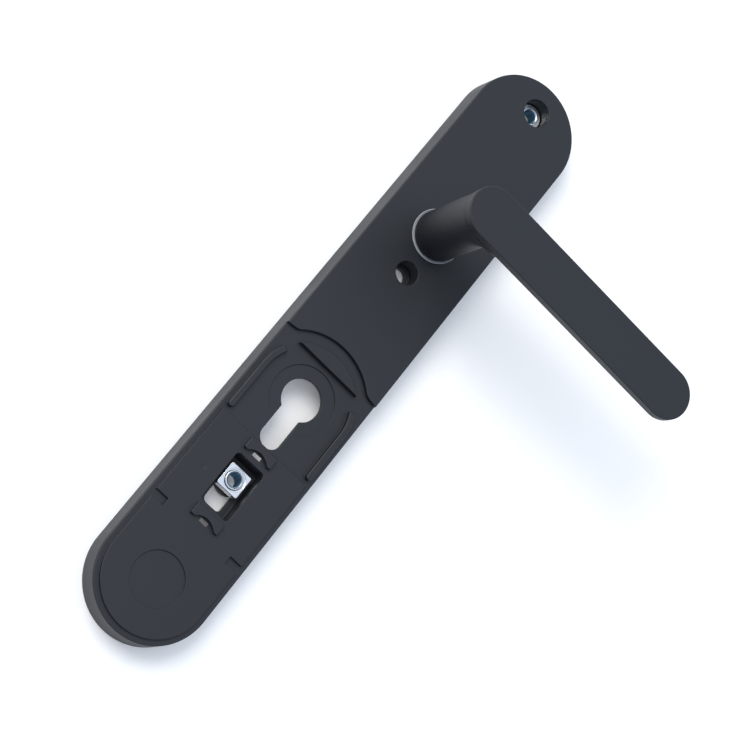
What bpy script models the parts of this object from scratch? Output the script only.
"""Door lever handle on a long plate, lying on its back.

Frame: origin at the middle of the plate's back, +X along the lever, +Y up the plate, +Z out of its face.
Every size is in metres. A size that can be set by itself is named once, in the first section;
every place and fit that follows from those sizes is worked out in the second.
"""

from math import asin, cos, degrees, pi, radians, sin

import bmesh
import bpy
from mathutils import Matrix, Vector

MM = 0.001

# ---------------------------------------------------------------- driving sizes
PLATE_WIDTH = 50.0 * MM
PLATE_LENGTH = 298.0 * MM
PLATE_THICKNESS = 13.5 * MM
SIDE_DRAFT = 0.45 * MM
FACE_CHAMFER = 0.5 * MM
SIDE_WALL = 2.5 * MM
FRONT_WALL = 2.3 * MM
COVER_STEP = 1.8 * MM
LEDGE_WIDTH = 2.4 * MM
PANEL_RISE = 1.2 * MM
RIB_RISE = 2.2 * MM
RIB_WIDTH = 2.8 * MM
RIB_TURN = 29.0
RIB_FOOT_ABOVE_PANEL = 2.0 * MM
CLIP_RISE = 1.7 * MM

TOP_HOLE_TO_END = 13.2 * MM
LEVER_TO_TOP_HOLE = 75.1 * MM
LEVER_TO_MIDDLE_HOLE = 21.2 * MM
LEVER_TO_KEYHOLE = 92.0 * MM
KEYHOLE_TO_NUT = 42.1 * MM
KEYHOLE_TO_WAVE_FLATS = 19.3 * MM
KEYHOLE_TO_PANEL = 25.1 * MM
KEYHOLE_TO_MOON_CHORD = 16.3 * MM
PANEL_TO_UPPER_CLIP = 3.6 * MM
LOWER_CLIP_TO_NOTCH = 6.1 * MM

KEYHOLE_RADIUS = 8.75 * MM
KEYHOLE_TAIL_WIDTH = 10.0 * MM
KEYHOLE_HEIGHT = 33.4 * MM
KEYHOLE_RECESS_RADIUS = 14.25 * MM
WAVE_RADIUS = 27.7 * MM
MOON_RADIUS = 22.8 * MM
SHALLOW_RECESS = 0.6 * MM
BOTTOM_DISC_RADIUS = 11.1 * MM

TOP_BORE_RADIUS = 6.0 * MM
TOP_BORE_FLOOR = 5.6 * MM
MIDDLE_BORE_RADIUS = 5.0 * MM
MIDDLE_BORE_FLOOR = 5.2 * MM
MIDDLE_BOLT_HOLE_RADIUS = 3.5 * MM
BOSS_WALL = 1.2 * MM

NECK_RADIUS = 10.7 * MM
GRIP_WIDTH = 22.0 * MM
GRIP_THICKNESS = 6.0 * MM
GRIP_FACE_HEIGHT = 62.4 * MM
GRIP_END = 113.5 * MM
GRIP_ROUNDING = 2.8 * MM
GRIP_FACE_CHAMFER = 0.5 * MM
NECK_FILLET = 9.0 * MM
NECK_EDGE = 0.3 * MM
JOURNAL_RADIUS = 8.4 * MM
JOURNAL_FLAT_DEPTH = 1.8 * MM
SHORT_OF_BACK = 0.5 * MM
SPINDLE_SQUARE = 8.3 * MM
SPINDLE_DEPTH = 30.0 * MM

BUSH_WALL = 1.5 * MM
BUSH_FLANGE = 0.6 * MM
BUSH_FLANGE_PROUD = 0.8 * MM
LEVER_BOSS_WALL = 2.75 * MM
LEVER_BOSS_DEPTH = 4.1 * MM

BACK_PLATE_THICKNESS = 2.0 * MM
BACK_SCREW_RADIUS = 1.8 * MM
BACK_SCREW_POINT = 0.5 * MM
BACK_SCREW_HEAD_RADIUS = 3.5 * MM
BACK_SCREW_HEAD_HEIGHT = 1.7 * MM
BACK_SCREW_SUNK = 0.15 * MM
BACK_SCREW_LENGTH = 8.0 * MM
BACK_SCREW_CROSS = 3.2 * MM
BACK_SCREW_CROSS_BAR = 0.9 * MM
BACK_SCREW_CROSS_DEPTH = 1.05 * MM
BACK_SCREW_INSET = 6.0 * MM
TOP_SCREWS_TO_ROUND_END = 16.0 * MM
BOTTOM_SCREWS_TO_ROUND_END = 20.0 * MM
MIDDLE_HOLE_TO_SCREWS = 29.5 * MM
KEYHOLE_WINDOW_WIDTH = 27.0 * MM
KEYHOLE_WINDOW_CORNER = 4.0 * MM
KEYHOLE_WINDOW_ABOVE = 7.5 * MM
KEYHOLE_WINDOW_BELOW = 3.1 * MM
NUT_WINDOW_SIDE = 2.1 * MM
NUT_WINDOW_BELOW = 1.6 * MM
NUT_WINDOW_CORNER = 3.0 * MM

CASSETTE_LIFT = 0.7 * MM
CASSETTE_WALL = 0.7 * MM
CASSETTE_SHEET = 0.8 * MM
CASSETTE_COVER_SHEET = 0.6 * MM
CASSETTE_EAR_OFFSET = 3.7 * MM
CASSETTE_EAR_RADIUS = 3.0 * MM
CASSETTE_SCREW_RADIUS = 1.4 * MM
CASSETTE_SCREW_HEAD_RADIUS = 2.75 * MM
CASSETTE_SCREW_HEAD_HEIGHT = 1.25 * MM
CASSETTE_SCREW_HEAD_CHAMFER = 0.5 * MM
CASSETTE_SCREW_LENGTH = 6.0 * MM
CASSETTE_SCREW_CROSS = 2.8 * MM
CASSETTE_SCREW_CROSS_BAR = 0.7 * MM
CASSETTE_SCREW_CROSS_DEPTH = 0.8 * MM
LEVER_TRAVEL = radians(45.0)

DRIVER_WALL = 1.3 * MM
DRIVER_ARM_THICKNESS = 0.6 * MM
DRIVER_TAB_THICKNESS = 0.7 * MM
DRIVER_TAB_WIDTH = 2.0 * MM
SPRING_POST_DEPTH = 1.0 * MM
SPRING_WIRE = 1.2 * MM
SPRING_PITCH = 1.3 * MM
SPRING_TURNS = 1
SPRING_ROOM = 0.45 * MM

WASHER_THICKNESS = 0.55 * MM
WASHER_WIDTH = 2.35 * MM
CIRCLIP_THICKNESS = 0.7 * MM
CIRCLIP_WIDTH = 2.5 * MM
CIRCLIP_GROOVE_DEPTH = 0.9 * MM
CIRCLIP_OPENING = 56.0

NUT_WIDTH = 10.8 * MM
NUT_THICKNESS = 3.6 * MM
NUT_CORNER = 0.9 * MM
SLEEVE_RADIUS = 3.95 * MM
SLEEVE_BORE_RADIUS = 3.0 * MM
SLEEVE_PROUD = 0.35 * MM
SLEEVE_EDGE = 0.25 * MM
NUT_SLOT_WIDTH = 8.8 * MM
NUT_SLOT_CORNER = 2.2 * MM
NUT_TRAVEL_UP = 2.2 * MM
NUT_TRAVEL_DOWN = 9.0 * MM
POCKET_SIDE_ROOM = 1.7 * MM
POCKET_TOP_ROOM = 0.6 * MM
POCKET_BOTTOM_ROOM = 1.6 * MM
POCKET_CORNER = 1.6 * MM
POCKET_WALL = 1.8 * MM
POCKET_WALL_CORNER = 2.5 * MM
POCKET_FLOOR = 1.9 * MM
SLIDER_RING_THICKNESS = 0.8 * MM
SLIDER_RING_RADIUS = 6.2 * MM
SLIDER_GROOVE_DEPTH = 0.35 * MM

TOP_SLEEVE_RADIUS = 4.0 * MM
TOP_SLEEVE_FLANGE_RADIUS = 5.6 * MM
TOP_SLEEVE_FLANGE = 0.8 * MM
TOP_SLEEVE_TOP = 8.0 * MM

CLIP_WIDTH = 14.0 * MM
CLIP_DEPTH = 5.2 * MM
CLIP_ARCH_WIDTH = 10.6 * MM
CLIP_ARCH_RISE = 1.15 * MM
CLIP_ARCH_DEPTH = 2.6 * MM
CLIP_SLOT_WIDTH = 4.2 * MM
CLIP_SLOT_DEPTH = 2.6 * MM
CLIP_SLOT_AHEAD = 0.7 * MM
CLIP_CORNER = 0.5 * MM
NOTCH_WIDTH = 6.0 * MM
NOTCH_HEIGHT = 3.4 * MM

# GAP parts pieces that touch, RUN is the radial play of a turning fit, PLAY that of a thin ring along its axis.
GAP = 0.3 * MM
RUN = 0.25 * MM
PLAY = 0.2 * MM
# OVERLAP roots one shape in another, and HAIR keeps two of their faces from lying in one plane.
OVERLAP = 0.5 * MM
HAIR = 0.05 * MM
# Steps in a full turn.
ARC_STEPS = 40
SMALL_STEPS = 24

# ---------------------------------------------------------------- places that follow
PLATE_RADIUS = PLATE_WIDTH / 2
SPINE = PLATE_LENGTH / 2 - PLATE_RADIUS
TOP_HOLE_Y = PLATE_LENGTH / 2 - TOP_HOLE_TO_END
LEVER_Y = TOP_HOLE_Y - LEVER_TO_TOP_HOLE
MIDDLE_HOLE_Y = LEVER_Y - LEVER_TO_MIDDLE_HOLE
KEYHOLE_Y = LEVER_Y - LEVER_TO_KEYHOLE
NUT_Y = KEYHOLE_Y - KEYHOLE_TO_NUT
PANEL_TOP_Y = KEYHOLE_Y - KEYHOLE_TO_PANEL

FLOOR_Z = PLATE_THICKNESS - COVER_STEP
PANEL_Z = FLOOR_Z + PANEL_RISE
RIB_Z = FLOOR_Z + RIB_RISE
CLIP_Z = PANEL_Z + CLIP_RISE
CAVITY_RADIUS = PLATE_RADIUS + SIDE_DRAFT - SIDE_WALL
HOLLOW_STEP_Y = KEYHOLE_Y + WAVE_RADIUS - FRONT_WALL
BOSS_Z = BACK_PLATE_THICKNESS + GAP

POCKET_FLOOR_Z = BOSS_Z + GAP + POCKET_FLOOR
NUT_Z = POCKET_FLOOR_Z + GAP
POCKET_WIDTH = NUT_WIDTH + 2 * POCKET_SIDE_ROOM
POCKET_TOP_Y = NUT_Y + NUT_WIDTH / 2 + NUT_TRAVEL_UP + POCKET_TOP_ROOM
POCKET_BOTTOM_Y = NUT_Y - NUT_WIDTH / 2 - NUT_TRAVEL_DOWN - POCKET_BOTTOM_ROOM
POCKET_Y = (POCKET_TOP_Y + POCKET_BOTTOM_Y) / 2
POCKET_HEIGHT = POCKET_TOP_Y - POCKET_BOTTOM_Y
SLOT_HEIGHT = NUT_TRAVEL_UP + NUT_TRAVEL_DOWN + 2 * (SLEEVE_RADIUS + RUN)
UPPER_CLIP_Y = PANEL_TOP_Y - PANEL_TO_UPPER_CLIP
LOWER_CLIP_Y = POCKET_BOTTOM_Y - POCKET_WALL - CLIP_DEPTH / 2
NOTCH_Y = LOWER_CLIP_Y - LOWER_CLIP_TO_NOTCH
BACK_SCREW_X = CAVITY_RADIUS - BACK_SCREW_INSET
SLIDER_GROOVE_RADIUS = SLEEVE_RADIUS - SLIDER_GROOVE_DEPTH

CASSETTE_FLOOR_Z = BACK_PLATE_THICKNESS + CASSETTE_LIFT
CASSETTE_ROOM_Z = CASSETTE_FLOOR_Z + CASSETTE_SHEET
BUSH_BORE_RADIUS = JOURNAL_RADIUS + RUN
BUSH_OUTER_RADIUS = BUSH_BORE_RADIUS + BUSH_WALL
LEVER_BORE_RADIUS = BUSH_OUTER_RADIUS + GAP
LEVER_BOSS_RADIUS = LEVER_BORE_RADIUS + LEVER_BOSS_WALL
LEVER_BOSS_Z = PLATE_THICKNESS - LEVER_BOSS_DEPTH
BUSH_FLANGE_Z = PLATE_THICKNESS + RUN
NECK_Z = BUSH_FLANGE_Z + BUSH_FLANGE + RUN
COVER_Z = LEVER_BOSS_Z - GAP - CASSETTE_COVER_SHEET
DRIVER_Z = CASSETTE_ROOM_Z + GAP
DRIVER_TOP_Z = COVER_Z - GAP
HUB_BORE_RADIUS = JOURNAL_RADIUS + RUN
JOURNAL_FLAT = JOURNAL_RADIUS - JOURNAL_FLAT_DEPTH
DRIVER_RADIUS = HUB_BORE_RADIUS + DRIVER_WALL
SPRING_RADIUS = DRIVER_RADIUS + SPRING_ROOM + SPRING_WIRE / 2
TAB_INNER_RADIUS = SPRING_RADIUS + SPRING_WIRE / 2 + GAP
TAB_OUTER_RADIUS = TAB_INNER_RADIUS + DRIVER_TAB_THICKNESS
POST_INNER_RADIUS = TAB_OUTER_RADIUS + GAP
ROOM_RADIUS = POST_INNER_RADIUS + SPRING_POST_DEPTH
CASSETTE_RADIUS = ROOM_RADIUS + CASSETTE_WALL
CASSETTE_EAR_X = CASSETTE_RADIUS + CASSETTE_EAR_OFFSET
WASHER_RADIUS = HUB_BORE_RADIUS + WASHER_WIDTH
WASHER_Z = CASSETTE_FLOOR_Z - PLAY - WASHER_THICKNESS
CIRCLIP_Z = WASHER_Z - PLAY - CIRCLIP_THICKNESS
CIRCLIP_GROOVE_RADIUS = JOURNAL_RADIUS - CIRCLIP_GROOVE_DEPTH

COLLECTION = bpy.data.collections.new("door_lever_handle")
CUTTERS = bpy.data.collections.new("cutters")


def clear_scene():
    for obj in list(bpy.data.objects):
        bpy.data.objects.remove(obj, do_unlink=True)
    bpy.context.scene.collection.children.link(COLLECTION)
    bpy.context.scene.collection.children.link(CUTTERS)
    CUTTERS.hide_render = True


def material(name, colour, roughness, metallic):
    made = bpy.data.materials.new(name)
    made.use_nodes = True
    shader = made.node_tree.nodes["Principled BSDF"]
    shader.inputs["Base Color"].default_value = (*colour, 1.0)
    shader.inputs["Roughness"].default_value = roughness
    shader.inputs["Metallic"].default_value = metallic
    return made


# ---------------------------------------------------------------- outlines
def arc(centre, radius, start, end, steps=ARC_STEPS):
    """Points on an arc, angles in degrees, both ends included."""
    count = max(2, round(steps * abs(end - start) / 360))
    angles = [radians(start + (end - start) * i / count) for i in range(count + 1)]
    return [(centre[0] + radius * cos(a), centre[1] + radius * sin(a)) for a in angles]


def circle(centre, radius, steps=ARC_STEPS):
    return arc(centre, radius, 0, 360, steps)[:-1]


def rounded_box(centre, width, height, corner, steps=SMALL_STEPS):
    x, y = width / 2 - corner, height / 2 - corner
    points = []
    for turn, (sx, sy) in enumerate(((1, 1), (-1, 1), (-1, -1), (1, -1))):
        middle = (centre[0] + sx * x, centre[1] + sy * y)
        points += arc(middle, corner, 90 * turn, 90 * turn + 90, steps)
    return points


def stadium(radius, low_y, high_y, steps=2 * ARC_STEPS):
    return arc((0, high_y), radius, 0, 180, steps) + arc((0, low_y), radius, 180, 360, steps)


def keyhole_outline():
    """Round head on a narrower tail with a round foot."""
    half = KEYHOLE_TAIL_WIDTH / 2
    meet = degrees(asin(half / KEYHOLE_RADIUS))
    foot_y = KEYHOLE_Y + KEYHOLE_RADIUS - KEYHOLE_HEIGHT + half
    head = arc((0, KEYHOLE_Y), KEYHOLE_RADIUS, -90 + meet, 270 - meet)
    return head + arc((0, foot_y), half, 180, 360, SMALL_STEPS)


def wave_outline():
    """Everything below the wavy step: straight at both sides, an arc about the keyhole between."""
    flats_y = KEYHOLE_Y + KEYHOLE_TO_WAVE_FLATS
    edge = degrees(asin(KEYHOLE_TO_WAVE_FLATS / WAVE_RADIUS))
    side = PLATE_WIDTH
    bottom = -PLATE_LENGTH
    crest = arc((0, KEYHOLE_Y), WAVE_RADIUS, edge, 180 - edge, 2 * ARC_STEPS)
    return [(side, bottom), (side, flats_y)] + crest + [(-side, flats_y), (-side, bottom)]


def moon_outline():
    edge = degrees(asin(KEYHOLE_TO_MOON_CHORD / MOON_RADIUS))
    return arc((0, KEYHOLE_Y), MOON_RADIUS, edge, 180 - edge, 2 * ARC_STEPS)


def rib_outline():
    """The right-hand rib: an arc that follows the half-moon's circle, then straight down to a round end."""
    inner = MOON_RADIUS - RIB_WIDTH
    foot = (MOON_RADIUS - RIB_WIDTH / 2, PANEL_TOP_Y + RIB_WIDTH / 2 + RIB_FOOT_ABOVE_PANEL)
    outer_arc = arc((0, KEYHOLE_Y), MOON_RADIUS, 0, RIB_TURN, 2 * ARC_STEPS)
    inner_arc = arc((0, KEYHOLE_Y), inner, RIB_TURN, 0, 2 * ARC_STEPS)
    return outer_arc + inner_arc + arc(foot, RIB_WIDTH / 2, 180, 360, SMALL_STEPS)


def mirrored(points):
    return [(-x, y) for x, y in reversed(points)]


def panel_outline():
    radius = PLATE_RADIUS - LEDGE_WIDTH
    return arc((0, -SPINE), radius, 180, 360, 2 * ARC_STEPS) + [(radius, PANEL_TOP_Y), (-radius, PANEL_TOP_Y)]


# ---------------------------------------------------------------- shapes
def add_object(name, mesh, into=COLLECTION):
    obj = bpy.data.objects.new(name, mesh)
    into.objects.link(obj)
    return obj


def extruded(name, loops, low, high, into=COLLECTION):
    """A flat outline with its holes, extruded from low to high along Z, as a closed mesh."""
    curve = bpy.data.curves.new(name, "CURVE")
    curve.dimensions = "2D"
    curve.fill_mode = "BOTH"
    curve.extrude = (high - low) / 2
    for points in loops:
        spline = curve.splines.new("POLY")
        spline.points.add(len(points) - 1)
        for point, (x, y) in zip(spline.points, points):
            point.co = (x, y, 0.0, 1.0)
        spline.use_cyclic_u = True
    flat = add_object(name + "_outline", curve, into)
    bpy.context.view_layer.update()
    evaluated = flat.evaluated_get(bpy.context.evaluated_depsgraph_get())
    mesh = bpy.data.meshes.new_from_object(evaluated)
    mesh.transform(Matrix.Translation((0, 0, (low + high) / 2)))
    bpy.data.objects.remove(flat)
    shape = bmesh.new()
    shape.from_mesh(mesh)
    bmesh.ops.remove_doubles(shape, verts=shape.verts, dist=1e-6)
    bmesh.ops.dissolve_limit(shape, angle_limit=radians(0.5), verts=shape.verts, edges=shape.edges)
    bmesh.ops.recalc_face_normals(shape, faces=shape.faces)
    shape.to_mesh(mesh)
    shape.free()
    mesh.name = name
    return add_object(name, mesh, into)


def turned(name, profile, centre, closed, steps=ARC_STEPS, into=COLLECTION):
    """A profile of (radius, z), from the top down its outer side, turned about a line along Z at centre."""
    mesh = bpy.data.meshes.new(name)
    shape = bmesh.new()
    corners = [shape.verts.new((r, 0.0, z)) for r, z in profile]
    for first, second in zip(corners, corners[1:]):
        shape.edges.new((first, second))
    if closed:
        shape.edges.new((corners[-1], corners[0]))
    shape.to_mesh(mesh)
    shape.free()
    obj = add_object(name, mesh, into)
    obj.location = (centre[0], centre[1], 0.0)
    screw = obj.modifiers.new("turn", "SCREW")
    screw.steps = steps
    screw.render_steps = steps
    screw.use_merge_vertices = True
    screw.merge_threshold = 1e-6
    screw.use_smooth_shade = True
    return obj


def ring(name, centre, inner, outer, low, high, steps=ARC_STEPS, into=COLLECTION):
    profile = [(inner, high), (outer, high), (outer, low), (inner, low)]
    return turned(name, profile, centre, True, steps, into)


def rod(name, centre, radius, low, high, steps=ARC_STEPS):
    """A plain round bar along Z with one flat face at each end, to cut or to join with."""
    shape = bmesh.new()
    depth = high - low
    bmesh.ops.create_cone(shape, cap_ends=True, segments=steps, radius1=radius, radius2=radius, depth=depth)
    bmesh.ops.translate(shape, vec=(centre[0], centre[1], (low + high) / 2), verts=shape.verts)
    mesh = bpy.data.meshes.new(name)
    shape.to_mesh(mesh)
    shape.free()
    return add_object(name, mesh, CUTTERS)


def lofted(name, rings, into=COLLECTION):
    """Skins rings of equally many points, from the lowest to the highest, and caps both ends."""
    shape = bmesh.new()
    loops = [[shape.verts.new(point) for point in points] for points in rings]
    for lower, upper in zip(loops, loops[1:]):
        for i, corner in enumerate(lower):
            after = (i + 1) % len(lower)
            shape.faces.new((corner, lower[after], upper[after], upper[i]))
    shape.faces.new(list(reversed(loops[0])))
    shape.faces.new(loops[-1])
    bmesh.ops.remove_doubles(shape, verts=shape.verts, dist=1e-6)
    bmesh.ops.recalc_face_normals(shape, faces=shape.faces)
    mesh = bpy.data.meshes.new(name)
    shape.to_mesh(mesh)
    shape.free()
    return add_object(name, mesh, into)


def block(name, low, high):
    """A box between two opposite corners, to cut with."""
    shape = bmesh.new()
    bmesh.ops.create_cube(shape, size=1.0)
    size = Vector(high) - Vector(low)
    middle = (Vector(high) + Vector(low)) / 2
    bmesh.ops.scale(shape, vec=size, verts=shape.verts)
    bmesh.ops.translate(shape, vec=middle, verts=shape.verts)
    mesh = bpy.data.meshes.new(name)
    shape.to_mesh(mesh)
    shape.free()
    return add_object(name, mesh, CUTTERS)


def combine(target, other, operation):
    boolean = target.modifiers.new(operation.lower() + "_" + other.name, "BOOLEAN")
    boolean.operation = operation
    boolean.solver = "EXACT"
    boolean.object = other
    if other.name in COLLECTION.objects:
        COLLECTION.objects.unlink(other)
        CUTTERS.objects.link(other)
    other.hide_render = True
    other.display_type = "WIRE"


def cut(target, *others):
    for other in others:
        combine(target, other, "DIFFERENCE")


def join(target, *others):
    for other in others:
        combine(target, other, "UNION")


def finish(obj, look):
    obj.data.materials.clear()
    obj.data.materials.append(look)
    if obj.type == "MESH":
        obj.data.shade_smooth()
        obj.data.set_sharp_from_angle(angle=radians(30))
    return obj


# ---------------------------------------------------------------- plate casting
def plate_shell():
    """The drafted outer form: stepped down below the wavy line, with raised features, hollow from behind."""
    taper = SIDE_DRAFT / PLATE_THICKNESS
    levels = [
        (0.0, PLATE_RADIUS + SIDE_DRAFT),
        (PLATE_THICKNESS - FACE_CHAMFER, PLATE_RADIUS + FACE_CHAMFER * taper),
        (PLATE_THICKNESS, PLATE_RADIUS - FACE_CHAMFER),
    ]
    rings = [[(x, y, z) for x, y in stadium(r, -SPINE, SPINE)] for z, r in levels]
    plate = lofted("plate_body", rings)
    cut(plate, extruded("below_the_wave", [wave_outline()], FLOOR_Z, 2 * PLATE_THICKNESS, CUTTERS))
    root_z = FLOOR_Z - OVERLAP
    join(plate, extruded("panel", [panel_outline()], root_z, PANEL_Z, CUTTERS))
    join(plate, extruded("half_moon", [moon_outline()], root_z, RIB_Z, CUTTERS))
    join(plate, extruded("right_rib", [rib_outline()], root_z, RIB_Z, CUTTERS))
    join(plate, extruded("left_rib", [mirrored(rib_outline())], root_z, RIB_Z, CUTTERS))
    for name, y in (("upper_clip", UPPER_CLIP_Y), ("lower_clip", LOWER_CLIP_Y)):
        outline = rounded_box((0, y), CLIP_WIDTH, CLIP_DEPTH, CLIP_CORNER, 8)
        join(plate, extruded(name, [outline], root_z, CLIP_Z, CUTTERS))
    for name, side in (("left_notch", -1), ("right_notch", 1)):
        inner = side * (PLATE_RADIUS - LEDGE_WIDTH - NOTCH_WIDTH)
        near, far = sorted((inner, inner + side * (NOTCH_WIDTH + LEDGE_WIDTH / 2)))
        low = (near, NOTCH_Y - NOTCH_HEIGHT / 2, FLOOR_Z - 2 * HAIR)
        high = (far, NOTCH_Y + NOTCH_HEIGHT / 2, 2 * PLATE_THICKNESS)
        cut(plate, block(name, low, high))
    upper = arc((0, SPINE), CAVITY_RADIUS, 0, 180, 2 * ARC_STEPS)
    upper += [(-CAVITY_RADIUS, HOLLOW_STEP_Y), (CAVITY_RADIUS, HOLLOW_STEP_Y)]
    lower = arc((0, -SPINE), CAVITY_RADIUS, 180, 360, 2 * ARC_STEPS)
    lower += [(CAVITY_RADIUS, HOLLOW_STEP_Y + OVERLAP), (-CAVITY_RADIUS, HOLLOW_STEP_Y + OVERLAP)]
    cut(plate, extruded("upper_hollow", [upper], -GAP, PLATE_THICKNESS - FRONT_WALL, CUTTERS))
    cut(plate, extruded("lower_hollow", [lower], -2 * GAP, FLOOR_Z - FRONT_WALL, CUTTERS))
    return plate


def boss(name, centre, radius, low, steps=SMALL_STEPS):
    """A post inside the hollow, rooted in whichever front wall is above it."""
    wall_z = FLOOR_Z if centre[1] < HOLLOW_STEP_Y else PLATE_THICKNESS
    return rod(name, centre, radius, low, wall_z - FRONT_WALL + OVERLAP, steps)


def back_screw_places():
    rows = (
        SPINE - TOP_SCREWS_TO_ROUND_END,
        MIDDLE_HOLE_Y - MIDDLE_HOLE_TO_SCREWS,
        BOTTOM_SCREWS_TO_ROUND_END - SPINE,
    )
    return [(side * BACK_SCREW_X, y) for y in rows for side in (-1, 1)]


def cassette_screw_places():
    return [(-CASSETTE_EAR_X, LEVER_Y), (CASSETTE_EAR_X, LEVER_Y)]


def make_plate(look):
    """The casting: its shell, the bosses and pocket walls behind its face, and every hole through them."""
    plate = plate_shell()
    join(plate, boss("lever_boss", (0, LEVER_Y), LEVER_BOSS_RADIUS, LEVER_BOSS_Z, ARC_STEPS))
    join(plate, boss("top_boss", (0, TOP_HOLE_Y), TOP_BORE_RADIUS + BOSS_WALL, BOSS_Z, ARC_STEPS))
    join(plate, boss("middle_boss", (0, MIDDLE_HOLE_Y), MIDDLE_BORE_RADIUS + BOSS_WALL, BOSS_Z, ARC_STEPS))
    for i, place in enumerate(back_screw_places()):
        join(plate, boss(f"back_screw_boss_{i + 1}", place, BACK_SCREW_RADIUS + BOSS_WALL, BOSS_Z))
    for i, place in enumerate(cassette_screw_places()):
        low = CASSETTE_ROOM_Z + GAP
        join(plate, boss(f"cassette_boss_{i + 1}", place, CASSETTE_SCREW_RADIUS + BOSS_WALL, low))
    width, height = POCKET_WIDTH + 2 * POCKET_WALL, POCKET_HEIGHT + 2 * POCKET_WALL
    pocket = rounded_box((0, POCKET_Y), width, height, POCKET_WALL_CORNER)
    join(plate, extruded("pocket_walls", [pocket], BOSS_Z + GAP, FLOOR_Z - FRONT_WALL + OVERLAP, CUTTERS))

    over = 2 * PLATE_THICKNESS
    cut(plate, rod("lever_bore", (0, LEVER_Y), LEVER_BORE_RADIUS, LEVER_BOSS_Z - OVERLAP, over))
    cut(plate, rod("top_bore", (0, TOP_HOLE_Y), TOP_BORE_RADIUS, TOP_BORE_FLOOR, over))
    below_top_bore = TOP_BORE_FLOOR + OVERLAP
    cut(plate, rod("top_sleeve_hole", (0, TOP_HOLE_Y), TOP_SLEEVE_RADIUS + GAP, 0.0, below_top_bore))
    cut(plate, rod("middle_bore", (0, MIDDLE_HOLE_Y), MIDDLE_BORE_RADIUS, MIDDLE_BORE_FLOOR, over))
    below_middle_bore = MIDDLE_BORE_FLOOR + OVERLAP
    cut(plate, rod("middle_bolt_hole", (0, MIDDLE_HOLE_Y), MIDDLE_BOLT_HOLE_RADIUS, 0.0, below_middle_bore))
    for i, place in enumerate(back_screw_places()):
        top = BACK_SCREW_LENGTH + GAP
        cut(plate, rod(f"back_screw_hole_{i + 1}", place, BACK_SCREW_RADIUS + RUN, 0.0, top, SMALL_STEPS))
    for i, place in enumerate(cassette_screw_places()):
        top = CASSETTE_FLOOR_Z + CASSETTE_SCREW_LENGTH + GAP
        radius = CASSETTE_SCREW_RADIUS + RUN
        cut(plate, rod(f"cassette_screw_hole_{i + 1}", place, radius, 0.0, top, SMALL_STEPS))
    pocket_hole = rounded_box((0, POCKET_Y), POCKET_WIDTH, POCKET_HEIGHT, POCKET_CORNER)
    cut(plate, extruded("pocket", [pocket_hole], POCKET_FLOOR_Z, over, CUTTERS))
    slot_y = NUT_Y + (NUT_TRAVEL_UP - NUT_TRAVEL_DOWN) / 2
    slot = rounded_box((0, slot_y), NUT_SLOT_WIDTH, SLOT_HEIGHT, NUT_SLOT_CORNER)
    cut(plate, extruded("nut_slot", [slot], 0.0, POCKET_FLOOR_Z + OVERLAP, CUTTERS))
    recess = circle((0, KEYHOLE_Y), KEYHOLE_RECESS_RADIUS, 2 * ARC_STEPS)
    cut(plate, extruded("keyhole_recess", [recess], FLOOR_Z - SHALLOW_RECESS, FLOOR_Z + OVERLAP, CUTTERS))
    cut(plate, extruded("keyhole", [keyhole_outline()], 0.0, over, CUTTERS))
    disc = circle((0, -SPINE), BOTTOM_DISC_RADIUS, 2 * ARC_STEPS)
    cut(plate, extruded("bottom_disc", [disc], PANEL_Z - SHALLOW_RECESS, over, CUTTERS))
    for name, y in (("upper", UPPER_CLIP_Y), ("lower", LOWER_CLIP_Y)):
        cut_clip(plate, name, y)
    return finish(plate, look)


def cut_clip(plate, name, y):
    """Opens the clip bridge with a low arch at its foot, and the plate under it with the catch slot."""
    front = y - CLIP_DEPTH / 2
    radius = ((CLIP_ARCH_WIDTH / 2) ** 2 + CLIP_ARCH_RISE**2) / (2 * CLIP_ARCH_RISE)
    edge = degrees(asin(CLIP_ARCH_WIDTH / 2 / radius))
    crown = arc((0, PANEL_Z + CLIP_ARCH_RISE - radius), radius, 90 - edge, 90 + edge, 8 * SMALL_STEPS)
    arch = extruded(name + "_arch", [crown], -CLIP_ARCH_DEPTH / 2, CLIP_ARCH_DEPTH / 2 + OVERLAP, CUTTERS)
    stand_up = Matrix.Rotation(pi / 2, 4, "X")
    arch.data.transform(Matrix.Translation((0, front + CLIP_ARCH_DEPTH / 2, 0)) @ stand_up)
    slot_y = front + CLIP_SLOT_DEPTH / 2 - CLIP_SLOT_AHEAD
    low = (-CLIP_SLOT_WIDTH / 2, slot_y - CLIP_SLOT_DEPTH / 2, 0.0)
    high = (CLIP_SLOT_WIDTH / 2, slot_y + CLIP_SLOT_DEPTH / 2, PANEL_Z + CLIP_ARCH_RISE / 2)
    cut(plate, arch, block(name + "_catch_slot", low, high))


# ---------------------------------------------------------------- lever
def grip_ring(z, radius):
    """A round-ended outline from the neck axis to the grip's far end, at height z."""
    far = GRIP_END - GRIP_WIDTH / 2
    points = arc((far, 0), radius, -90, 90, 2 * SMALL_STEPS) + arc((0, 0), radius, 90, 270, 2 * SMALL_STEPS)
    return [(x, LEVER_Y + y, z) for x, y in points]


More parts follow.
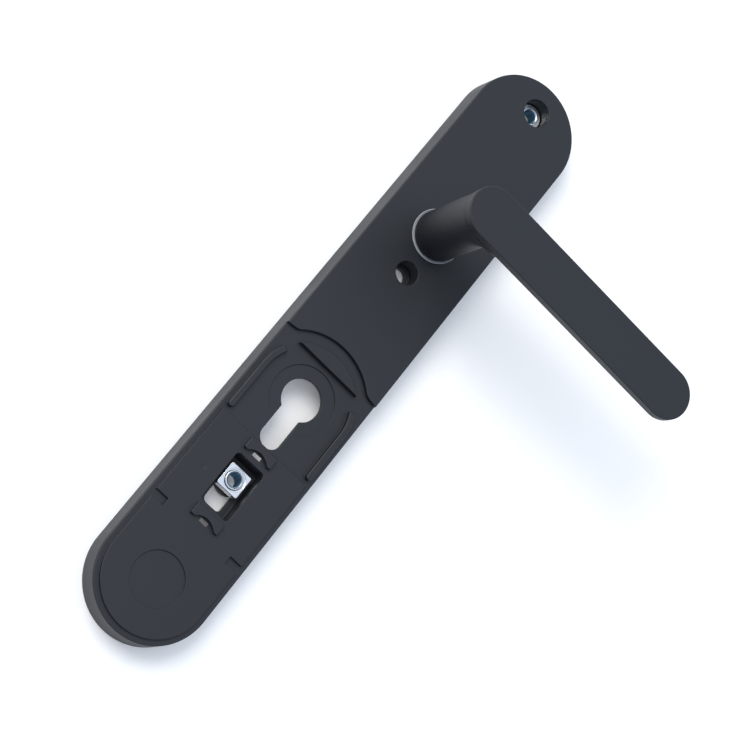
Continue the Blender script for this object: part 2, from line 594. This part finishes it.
def make_lever(look):
    """Neck and grip in one casting, its journal behind the plate, and the square socket for the spindle."""
    underside = GRIP_FACE_HEIGHT - GRIP_THICKNESS
    half = GRIP_WIDTH / 2
    rings = []
    rounding_steps = 4
    for i in range(rounding_steps + 1):
        turn = radians(90 * i / rounding_steps)
        inset = GRIP_ROUNDING * (1 - sin(turn))
        rings.append(grip_ring(underside + GRIP_ROUNDING * (1 - cos(turn)), half - inset))
    rings.append(grip_ring(GRIP_FACE_HEIGHT - GRIP_FACE_CHAMFER, half))
    rings.append(grip_ring(GRIP_FACE_HEIGHT, half - GRIP_FACE_CHAMFER))
    lever = lofted("lever", rings)

    # Each section is a height, how far the neck has swept out along the grip there, and its radius.
    sections = [(NECK_Z, 0.0, NECK_RADIUS - NECK_EDGE), (NECK_Z + NECK_EDGE, 0.0, NECK_RADIUS)]
    fillet_steps = 6
    for i in range(fillet_steps + 1):
        turn = radians(90 * i / fillet_steps)
        z = underside - NECK_FILLET * (1 - sin(turn))
        sections.append((z, NECK_FILLET * (1 - cos(turn)), NECK_RADIUS))
    sections.append((GRIP_FACE_HEIGHT - GRIP_THICKNESS / 2, NECK_FILLET, NECK_RADIUS))
    loops = []
    for z, reach, radius in sections:
        right = arc((reach, LEVER_Y), radius, -90, 90, 2 * SMALL_STEPS - 2)
        left = arc((0, LEVER_Y), radius, 90, 270, 2 * SMALL_STEPS - 2)
        loops.append([(x, y, z) for x, y in right + left])
    join(lever, lofted("neck", loops, CUTTERS))

    groove_low = CIRCLIP_Z - PLAY / 2
    groove_high = CIRCLIP_Z + CIRCLIP_THICKNESS + PLAY / 2
    profile = [
        (0.0, NECK_Z + 2 * OVERLAP),
        (JOURNAL_RADIUS, NECK_Z + 2 * OVERLAP),
        (JOURNAL_RADIUS, groove_high),
        (CIRCLIP_GROOVE_RADIUS, groove_high),
        (CIRCLIP_GROOVE_RADIUS, groove_low),
        (JOURNAL_RADIUS, groove_low),
        (JOURNAL_RADIUS, SHORT_OF_BACK),
        (0.0, SHORT_OF_BACK),
    ]
    join(lever, turned("journal", profile, (0, LEVER_Y), False, ARC_STEPS, CUTTERS))
    for name, side in (("upper_flat", 1), ("lower_flat", -1)):
        near, far = sorted((side * JOURNAL_FLAT, side * 2 * JOURNAL_FLAT))
        low = (-2 * JOURNAL_RADIUS, LEVER_Y + near, 0.0)
        high = (2 * JOURNAL_RADIUS, LEVER_Y + far, DRIVER_TOP_Z + PLAY)
        cut(lever, block(name, low, high))
    half_square = SPINDLE_SQUARE / 2
    low = (-half_square, LEVER_Y - half_square, 0.0)
    high = (half_square, LEVER_Y + half_square, SPINDLE_DEPTH)
    cut(lever, block("spindle_socket", low, high))
    return finish(lever, look)


def make_bush(look):
    """Flanged sleeve that the journal turns in; its thin flange shows round the neck's foot."""
    profile = [
        (BUSH_BORE_RADIUS, BUSH_FLANGE_Z + BUSH_FLANGE),
        (NECK_RADIUS + BUSH_FLANGE_PROUD, BUSH_FLANGE_Z + BUSH_FLANGE),
        (NECK_RADIUS + BUSH_FLANGE_PROUD, BUSH_FLANGE_Z),
        (BUSH_OUTER_RADIUS, BUSH_FLANGE_Z),
        (BUSH_OUTER_RADIUS, LEVER_BOSS_Z + GAP),
        (BUSH_BORE_RADIUS, LEVER_BOSS_Z + GAP),
    ]
    return finish(turned("bearing_bush", profile, (0, LEVER_Y), True, 48), look)


# ---------------------------------------------------------------- return-spring cassette
def at_angle(radius, angle):
    return (radius * cos(angle), LEVER_Y + radius * sin(angle))


def sector(inner, outer, middle, half_width, steps=4):
    """A block with curved inner and outer sides, about the lever's axis, of the same width at both."""
    points = []
    for radius, order in ((outer, 1), (inner, -1)):
        reach = asin(half_width / radius)
        angles = [middle - order * reach + order * 2 * reach * i / steps for i in range(steps + 1)]
        points += [at_angle(radius, a) for a in angles]
    return points


def make_cassette(look):
    """Cup with two screw ears, a post between the spring's legs, and a stop at each end of the tab's travel."""
    centre = (0, LEVER_Y)
    low, high = CASSETTE_FLOOR_Z, CASSETTE_ROOM_Z
    cup = ring("cassette_housing", centre, HUB_BORE_RADIUS, CASSETTE_RADIUS, low, high)
    wall_top = COVER_Z - GAP
    low = CASSETTE_ROOM_Z - CASSETTE_SHEET / 2
    join(cup, ring("cup_wall", centre, ROOM_RADIUS, CASSETTE_RADIUS, low, wall_top, ARC_STEPS, CUTTERS))
    spread = asin(DRIVER_TAB_WIDTH / 2 / TAB_OUTER_RADIUS) + (SPRING_WIRE + 2 * GAP) / TAB_INNER_RADIUS
    half = DRIVER_TAB_WIDTH / 2
    stop_angle = LEVER_TRAVEL + spread + asin(half / TAB_INNER_RADIUS)
    keepers = (
        ("spring_post", POST_INNER_RADIUS, pi / 2),
        ("left_stop", TAB_INNER_RADIUS, pi / 2 + stop_angle),
        ("right_stop", TAB_INNER_RADIUS, pi / 2 - stop_angle),
    )
    for name, inner, angle in keepers:
        outline = sector(inner, CASSETTE_RADIUS - CASSETTE_WALL / 2, angle, half)
        join(cup, extruded(name, [outline], low, wall_top - PLAY, CUTTERS))
    for name, side in (("left_ear", -1), ("right_ear", 1)):
        near, far = sorted((side * ROOM_RADIUS, side * CASSETTE_EAR_X))
        outline = arc((far, LEVER_Y), CASSETTE_EAR_RADIUS, -90, 90, SMALL_STEPS)
        outline += arc((near, LEVER_Y), CASSETTE_EAR_RADIUS, 90, 270, SMALL_STEPS)
        join(cup, extruded(name, [outline], CASSETTE_FLOOR_Z, CASSETTE_ROOM_Z, CUTTERS))
    for i, place in enumerate(cassette_screw_places()):
        radius = CASSETTE_SCREW_RADIUS + GAP
        cut(cup, rod(f"ear_hole_{i + 1}", place, radius, 0.0, 2 * CASSETTE_ROOM_Z, SMALL_STEPS))
    return finish(cup, look)


def make_cassette_cover(look):
    """Washer-shaped lid that keeps the spring in its cup."""
    top = COVER_Z + CASSETTE_COVER_SHEET
    cover = ring("cassette_cover", (0, LEVER_Y), HUB_BORE_RADIUS, CASSETTE_RADIUS, COVER_Z, top)
    return finish(cover, look)


def double_flat_outline(radius, flat):
    """A circle about the lever's axis with two flats, above and below."""
    edge = degrees(asin(flat / radius))
    return arc((0, LEVER_Y), radius, -edge, edge) + arc((0, LEVER_Y), radius, 180 - edge, 180 + edge)


def make_driver(look):
    """Ring on the journal's flats; its arm passes over the coil and its tab hangs between the spring's legs."""
    loops = [circle((0, LEVER_Y), DRIVER_RADIUS), double_flat_outline(HUB_BORE_RADIUS, JOURNAL_FLAT + RUN)]
    driver = extruded("spring_driver", loops, DRIVER_Z, DRIVER_TOP_Z)
    half = DRIVER_TAB_WIDTH / 2
    arm = sector(DRIVER_RADIUS - DRIVER_WALL / 2, TAB_OUTER_RADIUS - HAIR, pi / 2, half)
    arm_low = DRIVER_TOP_Z - DRIVER_ARM_THICKNESS
    join(driver, extruded("driver_arm", [arm], arm_low, DRIVER_TOP_Z - HAIR, CUTTERS))
    tab = sector(TAB_INNER_RADIUS, TAB_OUTER_RADIUS, pi / 2, half - HAIR)
    join(driver, extruded("driver_tab", [tab], DRIVER_Z, DRIVER_TOP_Z - 2 * HAIR, CUTTERS))
    return finish(driver, look)


def make_spring(look):
    """Torsion spring: a coil about the hub, its legs turned outwards on either side of the tab and the post."""
    half_tab = asin(DRIVER_TAB_WIDTH / 2 / TAB_INNER_RADIUS)
    leg_angle = half_tab + (SPRING_WIRE / 2 + GAP) / TAB_INNER_RADIUS
    start = pi / 2 + leg_angle
    sweep = 2 * pi * (SPRING_TURNS + 1) - 2 * leg_angle
    low = CASSETTE_ROOM_Z + GAP + PLAY + SPRING_WIRE / 2
    leg_end = ROOM_RADIUS - GAP
    count = ARC_STEPS // 2 * (SPRING_TURNS + 1)
    points = [(*at_angle(leg_end, start), low)]
    for i in range(count + 1):
        z = low + SPRING_PITCH * sweep / (2 * pi) * i / count
        points.append((*at_angle(SPRING_RADIUS, start + sweep * i / count), z))
    points.append((*at_angle(leg_end, start + sweep), points[-1][2]))
    curve = bpy.data.curves.new("return_spring", "CURVE")
    curve.dimensions = "3D"
    curve.bevel_depth = SPRING_WIRE / 2
    curve.bevel_resolution = 2
    curve.use_fill_caps = True
    spline = curve.splines.new("POLY")
    spline.points.add(len(points) - 1)
    for corner, point in zip(spline.points, points):
        corner.co = (*point, 1.0)
    return finish(add_object("return_spring", curve), look)


# ---------------------------------------------------------------- behind the plate
def make_back_plate(look):
    """Flat steel plate that closes the casting, with an opening wherever something passes through."""
    key_top = KEYHOLE_Y + KEYHOLE_RADIUS + KEYHOLE_WINDOW_ABOVE
    key_low = PANEL_TOP_Y - KEYHOLE_WINDOW_BELOW
    key_middle = (0, (key_top + key_low) / 2)
    nut_top = POCKET_TOP_Y + POCKET_WALL
    nut_low = LOWER_CLIP_Y - CLIP_DEPTH / 2 - NUT_WINDOW_BELOW
    nut_middle = (0, (nut_top + nut_low) / 2)
    nut_window_width = POCKET_WIDTH + 2 * NUT_WINDOW_SIDE
    loops = [
        stadium(CAVITY_RADIUS - GAP, -SPINE, SPINE),
        circle((0, LEVER_Y), WASHER_RADIUS + GAP),
        circle((0, TOP_HOLE_Y), TOP_SLEEVE_RADIUS + GAP),
        circle((0, MIDDLE_HOLE_Y), MIDDLE_BOLT_HOLE_RADIUS + GAP),
        rounded_box(key_middle, KEYHOLE_WINDOW_WIDTH, key_top - key_low, KEYHOLE_WINDOW_CORNER),
        rounded_box(nut_middle, nut_window_width, nut_top - nut_low, NUT_WINDOW_CORNER),
    ]
    head_room = CASSETTE_SCREW_HEAD_RADIUS + 2 * GAP
    loops += [circle(place, head_room, SMALL_STEPS) for place in cassette_screw_places()]
    plate = extruded("back_plate", loops, 0.0, BACK_PLATE_THICKNESS)
    below, above = -GAP, BACK_PLATE_THICKNESS + GAP
    neck = BACK_SCREW_RADIUS + GAP
    slope = (BACK_SCREW_HEAD_RADIUS - BACK_SCREW_RADIUS) / (BACK_SCREW_HEAD_HEIGHT - BACK_SCREW_SUNK)
    mouth = neck + slope * (BACK_SCREW_HEAD_HEIGHT - below)
    profile = [(0.0, above), (neck, above), (neck, BACK_SCREW_HEAD_HEIGHT), (mouth, below), (0.0, below)]
    for i, place in enumerate(back_screw_places()):
        cut(plate, turned(f"countersink_{i + 1}", profile, place, False, SMALL_STEPS, CUTTERS))
    return finish(plate, look)


def cut_cross(screw, centre, low, high, width, thickness):
    """Sinks a cross recess into a screw's head, its two bars of slightly different depth."""
    for part, x, y, deep in (("long", width, thickness, high), ("wide", thickness, width, high - HAIR)):
        near = (centre[0] - x / 2, centre[1] - y / 2, low)
        far = (centre[0] + x / 2, centre[1] + y / 2, deep)
        cut(screw, block(f"{screw.name}_{part}_bar", near, far))


def make_back_screws(look):
    """Countersunk screws, heads towards -Z, just below the back plate's outer face."""
    profile = [
        (0.0, BACK_SCREW_LENGTH),
        (BACK_SCREW_RADIUS - BACK_SCREW_POINT, BACK_SCREW_LENGTH),
        (BACK_SCREW_RADIUS, BACK_SCREW_LENGTH - BACK_SCREW_POINT),
        (BACK_SCREW_RADIUS, BACK_SCREW_HEAD_HEIGHT),
        (BACK_SCREW_HEAD_RADIUS, BACK_SCREW_SUNK),
        (0.0, BACK_SCREW_SUNK),
    ]
    deep = BACK_SCREW_SUNK + BACK_SCREW_CROSS_DEPTH
    for i, place in enumerate(back_screw_places()):
        screw = turned(f"back_screw_{i + 1}", profile, place, False, SMALL_STEPS)
        cut_cross(screw, place, -GAP, deep, BACK_SCREW_CROSS, BACK_SCREW_CROSS_BAR)
        finish(screw, look)


def make_cassette_screws(look):
    """Cheese-head screws through the cassette's ears, heads towards -Z."""
    under_head = CASSETTE_FLOOR_Z - PLAY
    low = under_head - CASSETTE_SCREW_HEAD_HEIGHT
    profile = [
        (0.0, CASSETTE_FLOOR_Z + CASSETTE_SCREW_LENGTH),
        (CASSETTE_SCREW_RADIUS, CASSETTE_FLOOR_Z + CASSETTE_SCREW_LENGTH),
        (CASSETTE_SCREW_RADIUS, under_head),
        (CASSETTE_SCREW_HEAD_RADIUS, under_head),
        (CASSETTE_SCREW_HEAD_RADIUS, low + CASSETTE_SCREW_HEAD_CHAMFER),
        (CASSETTE_SCREW_HEAD_RADIUS - CASSETTE_SCREW_HEAD_CHAMFER, low),
        (0.0, low),
    ]
    deep = low + CASSETTE_SCREW_CROSS_DEPTH
    for i, place in enumerate(cassette_screw_places()):
        screw = turned(f"cassette_screw_{i + 1}", profile, place, False, SMALL_STEPS)
        cut_cross(screw, place, low - GAP, deep, CASSETTE_SCREW_CROSS, CASSETTE_SCREW_CROSS_BAR)
        finish(screw, look)


def make_washer(look):
    """Thrust washer between the cassette's floor and the circlip."""
    top = WASHER_Z + WASHER_THICKNESS
    washer = ring("thrust_washer", (0, LEVER_Y), HUB_BORE_RADIUS, WASHER_RADIUS, WASHER_Z, top)
    return finish(washer, look)


def make_circlip(look):
    """Open ring in the journal's groove, its mouth towards +Y."""
    inner = CIRCLIP_GROOVE_RADIUS + PLAY
    start = 90 - CIRCLIP_OPENING / 2
    end = CIRCLIP_OPENING / 2 - 270
    outer_arc = arc((0, LEVER_Y), inner + CIRCLIP_WIDTH, start, end)
    inner_arc = arc((0, LEVER_Y), inner, end, start)
    circlip = extruded("circlip", [outer_arc + inner_arc], CIRCLIP_Z, CIRCLIP_Z + CIRCLIP_THICKNESS)
    return finish(circlip, look)


# ---------------------------------------------------------------- sleeves and the floating nut
def make_slider_block(look):
    """Square block of the floating nut, bored for the sleeve that is pressed into it."""
    square = rounded_box((0, NUT_Y), NUT_WIDTH, NUT_WIDTH, NUT_CORNER)
    hole = circle((0, NUT_Y), SLEEVE_RADIUS + PLAY)
    return finish(extruded("slider_block", [square, hole], NUT_Z, NUT_Z + NUT_THICKNESS), look)


def make_slider_sleeve(look):
    """Threaded sleeve of the floating nut, with the groove that its retaining ring sits in."""
    top = NUT_Z + NUT_THICKNESS + SLEEVE_PROUD
    groove_low = BOSS_Z - SLIDER_RING_THICKNESS - PLAY
    profile = [
        (SLEEVE_BORE_RADIUS + SLEEVE_EDGE, top),
        (SLEEVE_RADIUS - SLEEVE_EDGE, top),
        (SLEEVE_RADIUS, top - SLEEVE_EDGE),
        (SLEEVE_RADIUS, BOSS_Z),
        (SLIDER_GROOVE_RADIUS, BOSS_Z),
        (SLIDER_GROOVE_RADIUS, groove_low),
        (SLEEVE_RADIUS, groove_low),
        (SLEEVE_RADIUS, SHORT_OF_BACK),
        (SLEEVE_BORE_RADIUS, SHORT_OF_BACK),
        (SLEEVE_BORE_RADIUS, top - SLEEVE_EDGE),
    ]
    return finish(turned("slider_sleeve", profile, (0, NUT_Y), True), look)


def make_slider_ring(look):
    """Ring that keeps the floating nut in its slot from behind."""
    low = BOSS_Z - SLIDER_RING_THICKNESS - PLAY / 2
    inner = SLIDER_GROOVE_RADIUS + PLAY
    washer = ring("slider_ring", (0, NUT_Y), inner, SLIDER_RING_RADIUS, low, low + SLIDER_RING_THICKNESS)
    return finish(washer, look)


def make_top_sleeve(look):
    """Threaded sleeve for the upper through bolt, its flange on the floor of the top bore."""
    flange_low = TOP_BORE_FLOOR + GAP
    profile = [
        (SLEEVE_BORE_RADIUS + SLEEVE_EDGE, TOP_SLEEVE_TOP),
        (TOP_SLEEVE_RADIUS - SLEEVE_EDGE, TOP_SLEEVE_TOP),
        (TOP_SLEEVE_RADIUS, TOP_SLEEVE_TOP - SLEEVE_EDGE),
        (TOP_SLEEVE_RADIUS, flange_low + TOP_SLEEVE_FLANGE),
        (TOP_SLEEVE_FLANGE_RADIUS, flange_low + TOP_SLEEVE_FLANGE),
        (TOP_SLEEVE_FLANGE_RADIUS, flange_low),
        (TOP_SLEEVE_RADIUS, flange_low),
        (TOP_SLEEVE_RADIUS, SHORT_OF_BACK),
        (SLEEVE_BORE_RADIUS, SHORT_OF_BACK),
        (SLEEVE_BORE_RADIUS, TOP_SLEEVE_TOP - SLEEVE_EDGE),
    ]
    return finish(turned("top_sleeve", profile, (0, TOP_HOLE_Y), True), look)


def hang_on(name, place, pieces):
    """Parents the pieces of one moving group to an empty on their joint's axis, without moving them."""
    empty = bpy.data.objects.new(name, None)
    COLLECTION.objects.link(empty)
    empty.location = place
    bpy.context.view_layer.update()
    for piece in pieces:
        piece.parent = empty
        piece.matrix_parent_inverse = empty.matrix_world.inverted()


def main():
    clear_scene()
    powder_coat = material("black_powder_coat", (0.028, 0.030, 0.034), 0.55, 0.0)
    nylon = material("grey_nylon", (0.42, 0.43, 0.45), 0.4, 0.0)
    zinc_steel = material("zinc_plated_steel", (0.66, 0.68, 0.70), 0.3, 1.0)
    spring_steel = material("spring_steel", (0.30, 0.29, 0.28), 0.35, 1.0)

    make_plate(powder_coat)
    lever = make_lever(powder_coat)
    make_bush(nylon)
    make_cassette(zinc_steel)
    make_cassette_cover(zinc_steel)
    driver = make_driver(spring_steel)
    make_spring(spring_steel)
    make_back_plate(zinc_steel)
    make_back_screws(zinc_steel)
    make_cassette_screws(zinc_steel)
    washer = make_washer(zinc_steel)
    circlip = make_circlip(spring_steel)
    nut = [make_slider_block(zinc_steel), make_slider_sleeve(zinc_steel), make_slider_ring(spring_steel)]
    make_top_sleeve(zinc_steel)
    hang_on("lever_axis", (0.0, LEVER_Y, 0.0), [lever, driver, washer, circlip])
    hang_on("nut_slide", (0.0, NUT_Y, NUT_Z), nut)


main()
